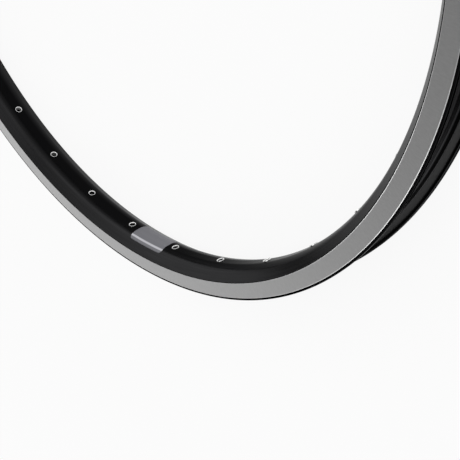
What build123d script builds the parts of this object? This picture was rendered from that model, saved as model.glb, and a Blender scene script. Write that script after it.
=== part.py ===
from build123d import *
import math
import os

# Bicycle rim for a clincher tyre, in millimetres.
# The wheel axis is Z, the rim's mid-plane is z = 0 and the valve hole lies on +X.
# Section points are given as a depth inwards from the flange tip and a place along the axis.

# Hoop
bead_seat_diameter = 559.0
flange_height = 6.4
rim_width = 30.0
rim_depth = 20.9
seam_gap = 0.1

# Flange and hook that holds the tyre bead
sidewall = 1.5
hook_overhang = 1.4
hook_height = 1.6
hook_taper = 1.1
tip_chamfer = 0.5

# Machined brake track, with a chamfered edge above it and a raised strip below it
edge_height = 1.2
edge_width = 0.75
track_width = 11.4
track_cut = 0.15
strip_height = 0.5

# Tyre well between the two bead seats
seat_fall = 0.35
well_drop = 4.6
well_rise = 1.3
well_flare = 1.1
bridge_wall = 1.0

# Eight-sided channels that take the joint pins
channel_flat_count = 8
channel_diameter = 3.3
channel_side_wall = 2.05
channel_seat_wall = 1.8
channel_wall = 1.3

# Spoke bed and the slopes beside it
bed_width = 15.4
bed_fall = 1.5
bed_wall = 1.8
slope_wall = 1.3

# Holes
spoke_count = 32
access_diameter = 9.0
valve_diameter = 8.5
flat_margin = 0.4

# Spoke eyelet, pressed into the bed
nipple_hole = 4.2
eyelet_wall = 0.3
eyelet_flange = 5.5
eyelet_crown = 0.75
eyelet_edge = 0.25
eyelet_dish = 0.4
eyelet_lip = 5.5
eyelet_lip_height = 0.7
eyelet_clearance = 0.05

# Joint pins
pin_length = 60.0
pin_chamfer = 0.3
pin_clearance = 0.05

# Label on the spoke bed
label_length = 36.5
label_wrap = 1.6
label_thickness = 0.15
label_gap = 0.03
label_corner = 2.5
label_after_spoke = 22

# Places that follow from the sizes above
tip_radius = bead_seat_diameter / 2 + flange_height
half_width = rim_width / 2
mouth_half = half_width - sidewall - hook_overhang
track_face = half_width - track_cut
track_foot = edge_height + track_width
slope_top = track_foot + strip_height
bed_half = bed_width / 2
bed_corner = rim_depth - bed_fall
bed_crown = tip_radius - rim_depth
crown_half = eyelet_flange / 2 + flat_margin
slope_steepness = (bed_corner - slope_top) / (half_width - bed_half)
channel_radius = channel_diameter / 2
channel_side = half_width - channel_side_wall - channel_radius
channel_depth = flange_height + channel_seat_wall + channel_radius
well_depth = flange_height + well_drop
well_floor_half = access_diameter / 2 + flat_margin
well_half = channel_side - channel_radius - channel_wall
chamber_top = well_depth + bridge_wall
chamber_bottom = rim_depth - bed_wall
chamber_middle = (chamber_top + chamber_bottom) / 2
spoke_pitch = 360 / spoke_count
spoke_angles = [spoke_pitch * (i + 0.5) for i in range(spoke_count)]
sleeve_radius = nipple_hole / 2 + eyelet_wall
seam_angle = math.degrees(seam_gap / tip_radius)
seam_direction = 180


def at(depth, side):
    """A section point, from its depth below the flange tip and its place along the axis."""
    return (tip_radius - depth, side)


def closed(flank):
    """The section area between a run of points and its mirror image across the mid-plane."""
    facing = [(radius, -side) for radius, side in reversed(flank)]
    return make_face(Polyline(*flank, *facing, close=True))


def channel_pair(radius):
    """The eight-sided areas around the two channel centres, with the radius to their flats."""
    return [
        Pos(*at(channel_depth, side)) * RegularPolygon(radius, channel_flat_count, major_radius=False)
        for side in (channel_side, -channel_side)
    ]


def turned(section, start, arc):
    """A section revolved about the wheel axis from a start direction through an arc, in degrees."""
    return Rot(Z=start) * revolve(Plane.XZ * section, Axis.Z, arc)


def arc_angle(length, radius):
    """The angle in degrees that a length takes up along a circle."""
    return math.degrees(length / radius)


def radial_hole(diameter, outer_depth, inner_depth):
    """A cutter along +X between two depths below the flange tip."""
    middle = tip_radius - (outer_depth + inner_depth) / 2
    return Pos(X=middle) * Rot(Y=90) * Cylinder(diameter / 2, inner_depth - outer_depth)


def outline_section():
    """The filled outline of the extrusion: tyre well, flanges, side faces, slopes and bed."""
    return closed(
        [
            at(well_depth, well_floor_half),
            at(well_depth - well_rise, well_half),
            at(flange_height + seat_fall, well_half + well_flare),
            at(flange_height, half_width - sidewall),
            at(hook_height + hook_taper, half_width - sidewall),
            at(hook_height, mouth_half),
            at(tip_chamfer, mouth_half),
            at(0, mouth_half + tip_chamfer),
            at(0, track_face - edge_width),
            at(edge_height, track_face),
            at(track_foot, track_face),
            at(track_foot, half_width),
            at(slope_top, half_width),
            at(bed_corner, bed_half),
            at(rim_depth, crown_half),
        ]
    )


def chamber_section():
    """The hollow between the bridge, the slopes and the bed, with the channel walls left standing."""
    bridge_steepness = well_rise / (well_half - well_floor_half)
    bridge_top = chamber_top - bridge_steepness * (channel_side - well_floor_half)
    slope_inset = slope_wall * math.hypot(1, slope_steepness)
    slope_foot = slope_top - slope_inset + slope_steepness * (half_width - channel_side)
    bottom_half = channel_side - (chamber_bottom - slope_foot) / slope_steepness
    hollow = closed(
        [
            at(chamber_top, well_floor_half),
            at(bridge_top, channel_side),
            at(slope_foot, channel_side),
            at(chamber_bottom, bottom_half),
        ]
    )
    return hollow - channel_pair(channel_radius + channel_wall)


def rim_hoop():
    """The rolled hoop, open by a hairline at its butt seam, with its spoke, access and valve holes."""
    section = outline_section() - chamber_section() - channel_pair(channel_radius)
    hoop = turned(section, seam_direction + seam_angle / 2, 360 - seam_angle)
    past_bed = rim_depth + bed_fall
    eyelet_hole = radial_hole(2 * (sleeve_radius + eyelet_clearance), chamber_middle, past_bed)
    access_hole = radial_hole(access_diameter, 0, chamber_middle)
    spoke_holes = [Rot(Z=angle) * tool for angle in spoke_angles for tool in (eyelet_hole, access_hole)]
    return hoop - spoke_holes - radial_hole(valve_diameter, 0, past_bed)


def eyelet():
    """A ferrule on +X: a dished flange on the bed, a sleeve through it and a lip rolled out behind it."""
    bore = nipple_hole / 2
    flange = eyelet_flange / 2
    lip = eyelet_lip / 2
    seat = bed_crown - math.sqrt(bed_crown**2 - flange**2) + eyelet_clearance
    lip_seat = -bed_wall - eyelet_clearance
    inner_end = lip_seat - eyelet_lip_height
    profile = Polyline(
        (bore, inner_end),
        (lip, inner_end),
        (lip, lip_seat),
        (sleeve_radius, lip_seat),
        (sleeve_radius, seat),
        (flange, seat),
        (flange, seat + eyelet_edge),
        ((flange + sleeve_radius) / 2, seat + eyelet_crown),
        (sleeve_radius, seat + eyelet_crown),
        (bore, seat + eyelet_crown - eyelet_dish),
        close=True,
    )
    towards_hub = Plane(origin=(bed_crown, 0, 0), x_dir=(0, 0, 1), z_dir=(-1, 0, 0))
    return towards_hub * revolve(Plane.XZ * make_face(profile), Axis.Z)


def joint_pin(side):
    """A pin across the seam in the channel on one side, bent to the channel's curve."""
    arc = arc_angle(pin_length, tip_radius - channel_depth)
    end = Pos(*at(channel_depth, side * channel_side)) * Circle(channel_radius - pin_clearance)
    pin = turned(end, seam_direction - arc / 2, arc)
    rims = pin.faces().filter_by(GeomType.PLANE).edges()
    return chamfer(rims, pin_chamfer)


def bed_label():
    """A thin sheet laid over the bed and a little way down both slopes."""
    wrap_end = at(bed_corner - slope_steepness * label_wrap, bed_half + label_wrap)
    flank = [wrap_end, at(bed_corner, bed_half), at(rim_depth, crown_half)]
    upper, lower = [
        closed([at(0, bed_half + label_wrap)] + [(radius - raised, side) for radius, side in flank])
        for raised in (label_gap + label_thickness, label_gap)
    ]
    arc = arc_angle(2 * label_length, bed_crown)
    sheet = turned(upper - lower, -arc / 2, arc)
    plan = RectangleRounded(label_length, bed_width + 2 * label_wrap, label_corner)
    label = sheet & extrude(Plane.YZ * plan, tip_radius)
    return Rot(Z=label_after_spoke * spoke_pitch) * label


os.makedirs("parts", exist_ok=True)
export_step(rim_hoop(), "parts/rim_hoop.step")
first_eyelet = eyelet()
for i, angle in enumerate(spoke_angles):
    export_step(Rot(Z=angle) * first_eyelet, f"parts/eyelet_{i + 1:02d}.step")
export_step(joint_pin(1), "parts/joint_pin_top.step")
export_step(joint_pin(-1), "parts/joint_pin_bottom.step")
export_step(bed_label(), "parts/bed_label.step")
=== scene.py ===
import math

import bmesh
import bpy
from mathutils import Matrix, Quaternion, Vector


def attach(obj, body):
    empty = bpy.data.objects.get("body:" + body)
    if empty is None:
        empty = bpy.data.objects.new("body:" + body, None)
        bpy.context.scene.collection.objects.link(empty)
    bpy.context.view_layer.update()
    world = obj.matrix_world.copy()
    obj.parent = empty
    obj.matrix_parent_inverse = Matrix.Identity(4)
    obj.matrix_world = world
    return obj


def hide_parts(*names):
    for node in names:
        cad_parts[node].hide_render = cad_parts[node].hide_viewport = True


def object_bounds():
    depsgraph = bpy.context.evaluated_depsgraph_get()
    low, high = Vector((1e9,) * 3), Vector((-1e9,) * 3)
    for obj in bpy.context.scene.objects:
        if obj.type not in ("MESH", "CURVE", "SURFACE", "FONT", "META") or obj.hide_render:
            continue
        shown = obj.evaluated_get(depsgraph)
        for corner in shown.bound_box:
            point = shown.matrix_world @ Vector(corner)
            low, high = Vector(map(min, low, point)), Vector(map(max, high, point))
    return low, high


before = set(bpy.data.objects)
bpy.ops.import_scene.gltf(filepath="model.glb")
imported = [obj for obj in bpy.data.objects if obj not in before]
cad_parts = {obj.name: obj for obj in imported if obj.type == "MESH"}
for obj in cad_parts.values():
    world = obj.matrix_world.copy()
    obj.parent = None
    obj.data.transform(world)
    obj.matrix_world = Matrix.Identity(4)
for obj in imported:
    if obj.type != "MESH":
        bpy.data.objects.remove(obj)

# The looks of a bicycle rim that lies flat, with the wheel axis along Z and the valve hole on +X.
# Sizes are in millimetres and become metres as each mesh is made. They are those of the part's
# source, but for rounded corners and a taller, steeper edge outside each brake track.
cad_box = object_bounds()
MM = 0.001

# Hoop
tip_radius = 285.9
half_width = 15.0
rim_depth = 20.9
seam_gap = 0.1
hoop_steps = 352

# Flange and hook, with depths below the flange tip
mouth_half = 12.1
sidewall = 1.5
flange_height = 6.4
hook_height = 1.6
hook_foot = 2.7

# Machined brake track, with a black edge and a machined bevel outside it
edge_height = 2.0
edge_width = 0.4
edge_round = 0.25
bevel_height = 0.3
bevel_drop = 0.19
track_foot = 12.6
track_face = 14.85
track_bevel = 0.2
slope_top = 13.1
bevel_top = edge_height - bevel_height
bevel_side = track_face - bevel_drop

# Tyre well, spoke bed and the hollow between them
seat_fall = 0.35
well_depth = 11.0
well_edge = 9.7
well_floor_half = 4.9
well_half = 8.35
well_shoulder = 9.45
bed_half = 7.7
bed_corner = 19.4
crown_half = 3.15
bridge_wall = 1.0
bed_wall = 1.8
hollow_foot = 14.6
hollow_bottom_half = 6.05

# Channels that take the joint pins
channel_depth = 9.85
channel_side = 11.3
channel_radius = 1.65
channel_wall = 1.3
channel_steps = 16

# Rounding of the extrusion's corners
tip_fall = 0.1
tip_round = 0.6
hook_round = 0.45
well_round = 1.2
slope_round = 0.35
bed_round = 10.0
crown_round = 6.0
hollow_round = 0.8

# Any rounding: the degrees from point to point, and the share of a side that it may take up
round_step = 18
round_share = 0.48

# Corners sharper than this, in degrees, aren't smoothed
sharp_angle = 30

# Holes
spoke_count = 32
eyelet_hole = 4.9
access_hole = 9.0
valve_hole = 8.5
hole_steps = 48
cutter_margin = 2.0

# Eyelet, with heights from the bed towards the hub
nipple_hole = 4.2
sleeve = 4.8
eyelet_flange = 5.5
eyelet_seat = 0.07
eyelet_crown = 0.8
eyelet_dish = 0.4
eyelet_lean = 0.1
eyelet_lip = 5.5
eyelet_lip_height = 0.7
eyelet_round = 0.45
eyelet_edge_round = 0.1
eyelet_lip_round = 0.3
eyelet_corner_round = 0.2
eyelet_steps = 56

# Label on the spoke bed
label_length = 36.5
label_wrap = 1.6
label_corner = 2.5
label_gap = 0.03
label_thickness = 0.15
label_after_spoke = 22
label_columns = 48
label_rows = 40

# The label's stripe, as shares of the label's height
stripe_middle = 0.86
stripe_half = 0.04
stripe_blur = 0.005

# Colours
black_low = (0.0093, 0.0093, 0.0097, 1)
black_high = (0.0250, 0.0250, 0.0258, 1)
# Painted shade: a deeper black laid on the spoke bed
bed_painted_shade = (0.0045, 0.0045, 0.0048, 1)
worn_grey = (0.11, 0.11, 0.11, 1)
bare_low = (0.54, 0.54, 0.54, 1)
bare_high = (0.66, 0.66, 0.66, 1)
steel_low = (0.74, 0.74, 0.73, 1)
steel_high = (0.90, 0.90, 0.90, 1)
# Painted shade: dark steel laid deep inside the eyelets' bores
steel_painted_shade = (0.05, 0.05, 0.05, 1)
film_low = (0.145, 0.145, 0.161, 1)
film_high = (0.180, 0.180, 0.197, 1)
stripe_pale = (0.55, 0.55, 0.58, 1)
floor_pale = (0.9, 0.9, 0.9, 1)
white = (1, 1, 1, 1)

# Gloss: roughness from lowest to highest, and how much the black mirrors at a grazing angle,
# on most of the hoop and outside the brake tracks
black_rough = (0.20, 0.28)
bare_rough = (0.30, 0.42)
eyelet_rough = (0.16, 0.28)
pin_rough = (0.29, 0.41)
film_rough = (0.40, 0.52)
floor_rough = 0.9
black_specular = 0.2
film_specular = 0.3
bare_anisotropy = 0.25
hoop_grazing = 0.53
tip_grazing = 0.2

# Noise: scales for (radius, turn, height), or for a place, and the depth and strength of its bump
die_scales = (2200, 6, 2200)
grain_scale = 3500.0
groove_scale = 4500.0
chatter_scales = (260, 300, 0)
polish_scale = 1400.0
film_scale = 60.0
black_bump = (0.02, 0.5)
bare_bump = (0.03, 0.25)
steel_bump = (0.02, 0.2)

# Depths between which painted shade on the spoke bed sets in, and the flanges' worn grey fades out
bed_shade_start = 19.2
bed_shade_full = 20.85
worn_full = 5.9
worn_end = 6.3

# Plated steel: the height in an eyelet below which it darkens as painted shade, and the height over
# which it does
eyelet_shade_height = -0.4
shade_fade = 0.4

# Finishes, by their place in the hoop's list of materials
black_finish, bare_finish, tip_finish = range(3)

# Camera, as the photograph was taken
aim = Vector((-1.4, -241.6, 0.0)) * MM
camera_distance = 613.9 * MM
camera_azimuth = 15.19
camera_elevation = 32.32
camera_roll = 119.56
lens = 73.25
near_clip = 0.01

# Floor, in metres: its white rises from a share to the whole between two radii
floor_radius = 12.0
floor_steps = 96
floor_level = cad_box[0][2]
shadow_near = 0.5
shadow_far = 2.5
shadow_white = 0.9

# World: the heights between which it falls from its strength at the horizon to that overhead
fall_start = 0.30
fall_end = 0.75
horizon_strength = 1.0
overhead_strength = 0.16


def direction(azimuth, elevation):
    """The unit vector towards an azimuth and an elevation in degrees."""
    flat = math.cos(math.radians(elevation))
    turn = math.radians(azimuth)
    return Vector((flat * math.cos(turn), flat * math.sin(turn), math.sin(math.radians(elevation))))


# Section lines

def rounded(corners):
    """A closed line of points through corners given as (x, y, radius of rounding)."""
    line = []
    for i, (x, y, radius) in enumerate(corners):
        corner = Vector((x, y))
        if not radius:
            line.append(corner)
            continue
        before = Vector(corners[i - 1][:2]) - corner
        after = Vector(corners[(i + 1) % len(corners)][:2]) - corner
        half = before.angle(after) / 2
        shorter = min(before.length, after.length)
        reach = min(radius / math.tan(half), round_share * shorter)
        bisector = (before.normalized() + after.normalized()).normalized()
        middle = corner + bisector * reach / math.cos(half)
        start = corner + before.normalized() * reach - middle
        sweep = math.copysign(math.pi - 2 * half, -before.cross(after))
        count = max(2, math.ceil(math.degrees(abs(sweep)) / round_step))
        line += [middle + Matrix.Rotation(sweep * k / count, 2) @ start for k in range(count + 1)]
    return line


def section(flank):
    """The closed line through a flank's (depth, side, rounding) corners and their mirror image."""
    facing = [(depth, -side, radius) for depth, side, radius in reversed(flank)]
    return rounded([(tip_radius - depth, side, radius) for depth, side, radius in flank + facing])


outline = section(
    [
        (well_depth, well_floor_half, well_round),
        (well_edge, well_half, well_round),
        (flange_height + seat_fall, well_shoulder, well_round),
        (flange_height, half_width - sidewall, hook_round),
        (hook_foot, half_width - sidewall, hook_round),
        (hook_height, mouth_half, hook_round),
        (tip_fall, mouth_half, tip_round),
        (tip_fall, track_face - edge_width, edge_round),
        (bevel_top, bevel_side, 0),
        (edge_height, track_face, 0),
        (track_foot - track_bevel, track_face, 0),
        (track_foot, half_width, 0),
        (slope_top, half_width, slope_round),
        (bed_corner, bed_half, bed_round),
        (rim_depth, crown_half, crown_round),
    ]
)
channel_foot = channel_depth + channel_radius + channel_wall
hollow = section(
    [
        (well_depth + bridge_wall, well_floor_half, hollow_round),
        (well_edge + bridge_wall, well_half, hollow_round),
        (channel_foot, channel_side - channel_wall, hollow_round),
        (channel_foot, channel_side, hollow_round),
        (hollow_foot, channel_side, hollow_round),
        (rim_depth - bed_wall, hollow_bottom_half, hollow_round),
    ]
)


def channel(side):
    """The round section line of one pin channel."""
    turns = [2 * math.pi * k / channel_steps for k in range(channel_steps)]
    middle = Vector((tip_radius - channel_depth, side * channel_side))
    return [middle + channel_radius * Vector((math.cos(turn), math.sin(turn))) for turn in turns]


# Meshes

def smooth(mesh):
    """Smooths a mesh's faces, but not across sharp corners."""
    mesh.shade_smooth()
    mesh.set_sharp_from_angle(angle=math.radians(sharp_angle))


def new_mesh(name, bm, materials):
    """A smooth mesh from a bmesh in millimetres."""
    bm.transform(Matrix.Scale(MM, 4))
    mesh = bpy.data.meshes.new(name)
    bm.to_mesh(mesh)
    bm.free()
    for item in materials:
        mesh.materials.append(item)
    smooth(mesh)
    return mesh


def add_object(name, data):
    """A new object in the scene with a mesh, a lamp or a camera as its data."""
    made = bpy.data.objects.new(name, data)
    bpy.context.collection.objects.link(made)
    return made


def add_ring(bm, line, steps):
    """Carries a closed line of (radius, height) points round Z and returns its faces, row by row."""
    turns = [2 * math.pi * s / steps for s in range(steps)]
    rows = []
    for x, y in line:
        rows.append([bm.verts.new((x * math.cos(turn), x * math.sin(turn), y)) for turn in turns])
    bands = []
    for i, row in enumerate(rows):
        above = rows[(i + 1) % len(rows)]
        bands.append(
            [bm.faces.new((row[s - 1], row[s], above[s], above[s - 1])) for s in range(steps)]
        )
    return bands


def add_drill(bm, angle, diameter, outer_depth, inner_depth):
    """Adds a radial cutter at an angle about Z, between two depths below the flange tip."""
    made = bmesh.ops.create_cone(
        bm,
        cap_ends=True,
        segments=hole_steps,
        radius1=diameter / 2,
        radius2=diameter / 2,
        depth=inner_depth - outer_depth,
    )
    lying = Matrix.Rotation(math.pi / 2, 4, "Y")
    along = Matrix.Translation((tip_radius - (outer_depth + inner_depth) / 2, 0, 0))
    place = Matrix.Rotation(math.radians(angle), 4, "Z") @ along @ lying
    bmesh.ops.transform(bm, matrix=place, verts=made["verts"])


def spoke_angle(number):
    """The direction of a spoke hole in degrees, counted from 1."""
    return 360 / spoke_count * (number - 0.5)


def hoop_cutters():
    """The spoke, access and valve holes and the hairline seam opposite the valve, as one mesh."""
    bm = bmesh.new()
    middle = (well_depth + bridge_wall + rim_depth - bed_wall) / 2
    past_bed = rim_depth + cutter_margin
    for number in range(1, spoke_count + 1):
        add_drill(bm, spoke_angle(number), eyelet_hole, middle, past_bed)
        add_drill(bm, spoke_angle(number), access_hole, 0, middle)
    add_drill(bm, 0, valve_hole, 0, past_bed)
    seam = bmesh.ops.create_cube(bm, size=1)
    seam_depth = rim_depth + 2 * cutter_margin
    seam_width = 2 * (half_width + cutter_margin)
    size = Matrix.Diagonal((seam_depth, seam_gap, seam_width, 1))
    place = Matrix.Translation((rim_depth / 2 - tip_radius, 0, 0)) @ size
    bmesh.ops.transform(bm, matrix=place, verts=seam["verts"])
    return add_object("hoop_cutters", new_mesh("hoop_cutters", bm, []))


def finish_at(depth, side):
    """The finish of the outline at a depth below the tip and a distance from the mid-plane."""
    if bevel_top < depth < track_foot and side > bevel_side:
        return bare_finish
    if depth < bevel_top and side > mouth_half + tip_round:
        return tip_finish
    return black_finish


def sharpen_finish_bounds(mesh):
    """Makes each edge sharp where one finish meets another."""
    bm = bmesh.new()
    bm.from_mesh(mesh)
    for edge in bm.edges:
        if len({face.material_index for face in edge.link_faces}) > 1:
            edge.smooth = False
    bm.to_mesh(mesh)
    bm.free()


def hoop(materials):
    """The rolled extrusion in its three finishes, drilled and cut at its seam."""
    bm = bmesh.new()
    bands = add_ring(bm, outline, hoop_steps)
    for i, band in enumerate(bands):
        middle = (outline[i] + outline[(i + 1) % len(outline)]) / 2
        for face in band:
            face.material_index = finish_at(tip_radius - middle.x, abs(middle.y))
    for line in (hollow, channel(1), channel(-1)):
        add_ring(bm, line[::-1], hoop_steps)
    piece = add_object("hoop", new_mesh("hoop", bm, materials))
    cutters = hoop_cutters()
    cut = piece.modifiers.new("holes", "BOOLEAN")
    cut.operation = "DIFFERENCE"
    cut.solver = "EXACT"
    cut.object = cutters
    drilled = piece.evaluated_get(bpy.context.evaluated_depsgraph_get())
    baked = bpy.data.meshes.new_from_object(drilled)
    piece.modifiers.clear()
    piece.data = baked
    bpy.data.objects.remove(cutters)
    smooth(baked)
    sharpen_finish_bounds(baked)
    flats = piece.modifiers.new("flats", "WEIGHTED_NORMAL")
    flats.keep_sharp = True
    return piece


def eyelet_mesh(steel):
    """One ferrule about Z: a domed flange on the bed, a sleeve through it and a lip behind it."""
    bore = nipple_hole / 2
    lip_seat = -bed_wall - eyelet_seat
    lip_end = lip_seat - eyelet_lip_height
    corners = [
        (bore, lip_end, eyelet_corner_round),
        (eyelet_lip / 2, lip_end, eyelet_lip_round),
        (eyelet_lip / 2, lip_seat, eyelet_corner_round),
        (sleeve / 2, lip_seat, 0),
        (sleeve / 2, eyelet_seat, 0),
        (eyelet_flange / 2, eyelet_seat, eyelet_edge_round),
        (eyelet_flange / 2 - eyelet_lean, eyelet_crown, 2 * eyelet_round),
        (sleeve / 2, eyelet_crown, eyelet_round),
        (bore, eyelet_crown - eyelet_dish, eyelet_corner_round),
    ]
    bm = bmesh.new()
    add_ring(bm, rounded(corners), eyelet_steps)
    return new_mesh("eyelet", bm, [steel])


def bed_radius(side):
    """The radius of the bed's surface at a place along the axis."""
    slope = [p for p in outline if p.x < tip_radius - slope_top]
    for a, b in zip(slope, slope[1:]):
        if b.y <= side <= a.y:
            share = (side - b.y) / (a.y - b.y)
            return b.x + share * (a.x - b.x)


def label(film):
    """A thin film laid over the bed and a little way down both slopes, with rounded corners."""
    bm = bmesh.new()
    uv = bm.loops.layers.uv.new("film")
    half_length = label_length / 2
    half_height = bed_half + label_wrap
    place = {}
    grid = []
    for c in range(label_columns + 1):
        along = -half_length * math.cos(math.pi * c / label_columns)
        past = max(0, abs(along) - half_length + label_corner)
        cut = label_corner - math.sqrt(max(0, label_corner**2 - past**2))
        column = []
        for r in range(label_rows + 1):
            side = (half_height - cut) * (2 * r / label_rows - 1)
            radius = bed_radius(side) - label_gap
            turn = along / (tip_radius - rim_depth)
            vert = bm.verts.new((radius * math.cos(turn), radius * math.sin(turn), side))
            place[vert] = (0.5 + along / label_length, 0.5 + side / half_height / 2)
            column.append(vert)
        grid.append(column)
    for left, right in zip(grid, grid[1:]):
        for r in range(label_rows):
            face = bm.faces.new((left[r], left[r + 1], right[r + 1], right[r]))
            for loop in face.loops:
                loop[uv].uv = place[loop.vert]
    bm.transform(Matrix.Rotation(2 * math.pi * label_after_spoke / spoke_count, 4, "Z"))
    piece = add_object("label", new_mesh("label", bm, [film]))
    thick = piece.modifiers.new("thickness", "SOLIDIFY")
    thick.thickness = label_thickness * MM
    thick.offset = 1
    return piece


# Nodes

def new_material(name, values):
    """A node material, and its shader with values for the sockets that are named."""
    made = bpy.data.materials.new(name)
    made.use_nodes = True
    shader = made.node_tree.nodes["Principled BSDF"]
    for socket, value in values.items():
        shader.inputs[socket].default_value = value
    return made, shader


def feed(made, socket, source):
    """Links an output to a socket, or gives the socket a value."""
    if isinstance(source, bpy.types.NodeSocket):
        made.node_tree.links.new(source, socket)
    else:
        socket.default_value = source


def add_node(made, kind, inputs=(), **options):
    """Adds a node with its options, and feeds its inputs, given as (name or number, source)."""
    node = made.node_tree.nodes.new(kind)
    for name, value in options.items():
        setattr(node, name, value)
    for key, source in inputs:
        feed(made, node.inputs[key], source)
    return node


def reckon(made, operation, *terms):
    """The result of a math operation on outputs or numbers."""
    return add_node(made, "ShaderNodeMath", enumerate(terms), operation=operation).outputs[0]


def ramp(made, value, start, end, low=0.0, high=1.0, shape="LINEAR"):
    """A value carried from one span to another, and held at its ends."""
    inputs = [
        ("Value", value),
        ("From Min", start),
        ("From Max", end),
        ("To Min", low),
        ("To Max", high),
    ]
    return add_node(made, "ShaderNodeMapRange", inputs, interpolation_type=shape).outputs[0]


def blend(made, share, first, second):
    """A colour between two others."""
    inputs = [(0, share), (6, first), (7, second)]
    return add_node(made, "ShaderNodeMix", inputs, data_type="RGBA").outputs[2]


def noise(made, place, scale, detail):
    """Noise at a place in space."""
    inputs = [("Vector", place), ("Scale", scale), ("Detail", detail)]
    return add_node(made, "ShaderNodeTexNoise", inputs).outputs["Fac"]


def own_place(made):
    """A surface point's place in its object's frame."""
    return add_node(made, "ShaderNodeTexCoord").outputs["Object"]


def hoop_coordinates(made):
    """The radius, the angle and the height of a surface point about its object's Z axis."""
    x, y, z = add_node(made, "ShaderNodeSeparateXYZ", [(0, own_place(made))]).outputs
    flat = add_node(made, "ShaderNodeCombineXYZ", [(0, x), (1, y)]).outputs[0]
    radius = add_node(made, "ShaderNodeVectorMath", [(0, flat)], operation="LENGTH")
    return radius.outputs["Value"], reckon(made, "ARCTAN2", y, x), z


def stretched(made, parts, scales):
    """A place from its parts, each times a scale of its own."""
    place = add_node(made, "ShaderNodeCombineXYZ", enumerate(parts)).outputs[0]
    inputs = [(0, place), (1, scales)]
    return add_node(made, "ShaderNodeVectorMath", inputs, operation="MULTIPLY").outputs[0]


def add_bump(made, shader, height, depth, strength):
    """Links a height to the shader's normal, with its depth in millimetres."""
    inputs = [("Height", height), ("Distance", depth * MM), ("Strength", strength)]
    feed(made, shader.inputs["Normal"], add_node(made, "ShaderNodeBump", inputs).outputs[0])


def radius_at(depth):
    """The radius in metres at a depth below the flange tip."""
    return (tip_radius - depth) * MM


# Materials

def black_anodise(name, grazing):
    """Dull black with faint lines along the extrusion and a fine grain, and painted shade darkening
    the spoke bed.
    """
    tint = (grazing, grazing, grazing, 1)
    values = {"Metallic": 1.0, "Specular IOR Level": black_specular, "Specular Tint": tint}
    made, shader = new_material(name, values)
    radius, turn, height = hoop_coordinates(made)
    along = stretched(made, (radius, turn, height), die_scales)
    die = noise(made, along, scale=1.0, detail=3.0)
    grain = noise(made, own_place(made), grain_scale, detail=2.0)
    colour = blend(made, die, black_low, black_high)
    # Painted shade: the bed's colour darkens towards the hub
    bed_shade_mask = ramp(made, radius, radius_at(bed_shade_start), radius_at(bed_shade_full))
    feed(made, shader.inputs["Base Color"], blend(made, bed_shade_mask, colour, bed_painted_shade))
    feed(made, shader.inputs["Roughness"], ramp(made, die, 0.0, 1.0, *black_rough))
    add_bump(made, shader, reckon(made, "ADD", die, grain), *black_bump)
    return made


def wear_flanges(made):
    """Wears a material to dull grey inside the flanges, between the hook and the bead seat."""
    shader = made.node_tree.nodes["Principled BSDF"]
    radius, _, height = hoop_coordinates(made)
    above_seat = ramp(made, radius, radius_at(worn_end), radius_at(worn_full))
    below_hook = ramp(made, radius, radius_at(hook_height), radius_at(hook_foot))
    aside = reckon(made, "ABSOLUTE", height)
    within = reckon(made, "LESS_THAN", aside, (half_width - sidewall / 2) * MM)
    wall = reckon(made, "MULTIPLY", above_seat, below_hook)
    worn = reckon(made, "MULTIPLY", wall, within)
    colour = shader.inputs["Base Color"].links[0].from_socket
    feed(made, shader.inputs["Base Color"], blend(made, worn, colour, worn_grey))
    feed(made, shader.inputs["Metallic"], reckon(made, "SUBTRACT", 1.0, worn))


def machined_metal():
    """Bare turned alloy, with fine grooves round the hoop and faint marks across them."""
    values = {"Metallic": 1.0, "Anisotropic": bare_anisotropy}
    made, shader = new_material("machined_metal", values)
    radius, turn = hoop_coordinates(made)[:2]
    inputs = [("W", radius), ("Scale", groove_scale), ("Detail", 2.0)]
    groove = add_node(made, "ShaderNodeTexNoise", inputs, noise_dimensions="1D").outputs["Fac"]
    across = stretched(made, (radius, turn), chatter_scales)
    chatter = noise(made, across, scale=1.0, detail=2.0)
    feed(made, shader.inputs["Base Color"], blend(made, chatter, bare_low, bare_high))
    feed(made, shader.inputs["Roughness"], ramp(made, groove, 0.0, 1.0, *bare_rough))
    tangent = add_node(made, "ShaderNodeTangent", direction_type="RADIAL", axis="Z")
    feed(made, shader.inputs["Tangent"], tangent.outputs[0])
    add_bump(made, shader, groove, *bare_bump)
    return made


def bright_steel(name, rough, shade_below):
    """Plated steel with a fine uneven polish, with painted shade making it dark below a height in
    its own frame.
    """
    made, shader = new_material(name, {"Metallic": 1.0})
    polish = noise(made, own_place(made), polish_scale, detail=3.0)
    colour = blend(made, polish, steel_low, steel_high)
    height = hoop_coordinates(made)[2]
    # Painted shade: darker below a height, where an eyelet's bore lies in shade
    shaded_part = ramp(made, height, shade_below * MM, (shade_below - shade_fade) * MM)
    feed(made, shader.inputs["Base Color"], blend(made, shaded_part, colour, steel_painted_shade))
    feed(made, shader.inputs["Roughness"], ramp(made, polish, 0.0, 1.0, *rough))
    add_bump(made, shader, polish, *steel_bump)
    return made


def label_film():
    """Satin grey film with one pale stripe along its upper edge."""
    made, shader = new_material("label_film", {"Specular IOR Level": film_specular})
    place = add_node(made, "ShaderNodeUVMap", uv_map="film").outputs[0]
    up = add_node(made, "ShaderNodeSeparateXYZ", [(0, place)]).outputs[1]
    apart = reckon(made, "ABSOLUTE", reckon(made, "SUBTRACT", up, stripe_middle))
    stripe = ramp(made, apart, stripe_half + stripe_blur, stripe_half - stripe_blur)
    grain = noise(made, place, film_scale, detail=4.0)
    ground = blend(made, grain, film_low, film_high)
    feed(made, shader.inputs["Base Color"], blend(made, stripe, ground, stripe_pale))
    feed(made, shader.inputs["Roughness"], ramp(made, grain, 0.0, 1.0, *film_rough))
    return made


def background_ray(made):
    """One where a camera, glossy or transmission ray sees the surface."""
    path = add_node(made, "ShaderNodeLightPath").outputs
    seen = reckon(made, "MAXIMUM", path["Is Camera Ray"], path["Is Glossy Ray"])
    return reckon(made, "MAXIMUM", seen, path["Is Transmission Ray"])


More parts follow.
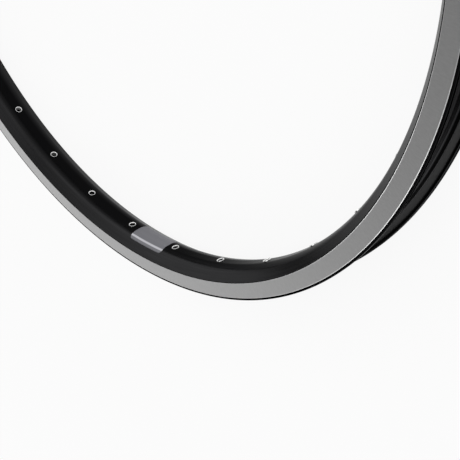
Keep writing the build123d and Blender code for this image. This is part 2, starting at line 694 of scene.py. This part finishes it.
def pale_floor():
    """White behind the object and far out, with part of the object's shadow kept near it."""
    values = {"Base Color": floor_pale, "Roughness": floor_rough, "Specular IOR Level": 0.0}
    made, shader = new_material("pale_floor", values)
    glow = add_node(made, "ShaderNodeEmission", [("Strength", 1.0)])
    radius = hoop_coordinates(made)[0]
    far = ramp(made, radius, shadow_near, shadow_far, shadow_white)
    share = reckon(made, "MULTIPLY", background_ray(made), far)
    inputs = [(0, share), (1, shader.outputs[0]), (2, glow.outputs[0])]
    mix = add_node(made, "ShaderNodeMixShader", inputs)
    feed(made, made.node_tree.nodes["Material Output"].inputs["Surface"], mix.outputs[0])
    return made


# Object

black = black_anodise("black_anodise", hoop_grazing)
wear_flanges(black)
tip_black = black_anodise("tip_black", tip_grazing)
bare = machined_metal()
# The eyelets darken below their shade height as painted shade
eyelet_steel = bright_steel("eyelet_steel", eyelet_rough, eyelet_shade_height)
pin_steel = bright_steel("pin_steel", pin_rough, -half_width)

rim = hoop([black, bare, tip_black])
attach(rim, "root")
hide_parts("rim_hoop")

ferrule = eyelet_mesh(eyelet_steel)
towards_hub = Matrix.Rotation(-math.pi / 2, 4, "Y")
on_crown = Matrix.Translation((radius_at(rim_depth), 0, 0)) @ towards_hub
for number in range(1, spoke_count + 1):
    piece = add_object(f"ferrule_{number:02d}", ferrule)
    piece.matrix_world = Matrix.Rotation(math.radians(spoke_angle(number)), 4, "Z") @ on_crown
    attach(piece, "root")
    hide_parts(f"eyelet_{number:02d}")

film = label(label_film())
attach(film, "root")
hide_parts("bed_label")

for name in ("joint_pin_top", "joint_pin_bottom"):
    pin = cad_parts[name].data
    pin.materials.clear()
    pin.materials.append(pin_steel)


# Stage

def add_floor():
    """A wide disc under the rim."""
    bm = bmesh.new()
    bmesh.ops.create_circle(bm, cap_ends=True, segments=floor_steps, radius=floor_radius / MM)
    floor = add_object("floor", new_mesh("floor", bm, [pale_floor()]))
    floor.location.z = floor_level


def turn_back(thing, azimuth, elevation, turn):
    """Points an object's back towards a direction, and turns it about that by some degrees."""
    upright = direction(azimuth, elevation).to_track_quat("Z", "Y")
    thing.rotation_mode = "QUATERNION"
    thing.rotation_quaternion = upright @ Quaternion((0, 0, 1), math.radians(turn))


def add_softbox(name, azimuth, elevation, distance, size, power, tilt=0):
    """A rectangular lamp that faces the middle of the rim, turned about its own axis by a tilt."""
    lamp = bpy.data.lights.new(name, "AREA")
    lamp.shape = "RECTANGLE"
    lamp.size, lamp.size_y = size
    lamp.energy = power
    box = add_object(name, lamp)
    box.location = direction(azimuth, elevation) * distance
    turn_back(box, azimuth, elevation, tilt)


def add_world():
    """A surround that is white near the horizon and falls to grey overhead."""
    world = bpy.data.worlds.new("surround")
    bpy.context.scene.world = world
    world.use_nodes = True
    place = add_node(world, "ShaderNodeTexCoord").outputs["Generated"]
    height = add_node(world, "ShaderNodeSeparateXYZ", [(0, place)]).outputs[2]
    span = (fall_start, fall_end, horizon_strength, overhead_strength)
    ground = world.node_tree.nodes["Background"]
    ground.inputs["Color"].default_value = white
    feed(world, ground.inputs["Strength"], ramp(world, height, *span, shape="SMOOTHSTEP"))


def add_camera():
    """The photograph's camera, turned about its own axis because the rim lies flat here."""
    camera = bpy.data.cameras.new("camera")
    camera.lens = lens
    camera.clip_start = near_clip
    view = add_object("camera", camera)
    view.location = aim + direction(camera_azimuth, camera_elevation) * camera_distance
    turn_back(view, camera_azimuth, camera_elevation, -camera_roll)
    bpy.context.scene.camera = view


add_floor()
add_world()
add_softbox("key", azimuth=35, elevation=58, distance=2.2, size=(2.6, 2.2), power=20)
add_softbox("edge", azimuth=263, elevation=30, distance=2.0, size=(0.8, 0.8), power=4.5)
add_softbox("side", azimuth=122, elevation=24, distance=2.0, size=(3.2, 1.0), power=10, tilt=-28)
add_camera()
bpy.context.scene.view_settings.view_transform = "Standard"
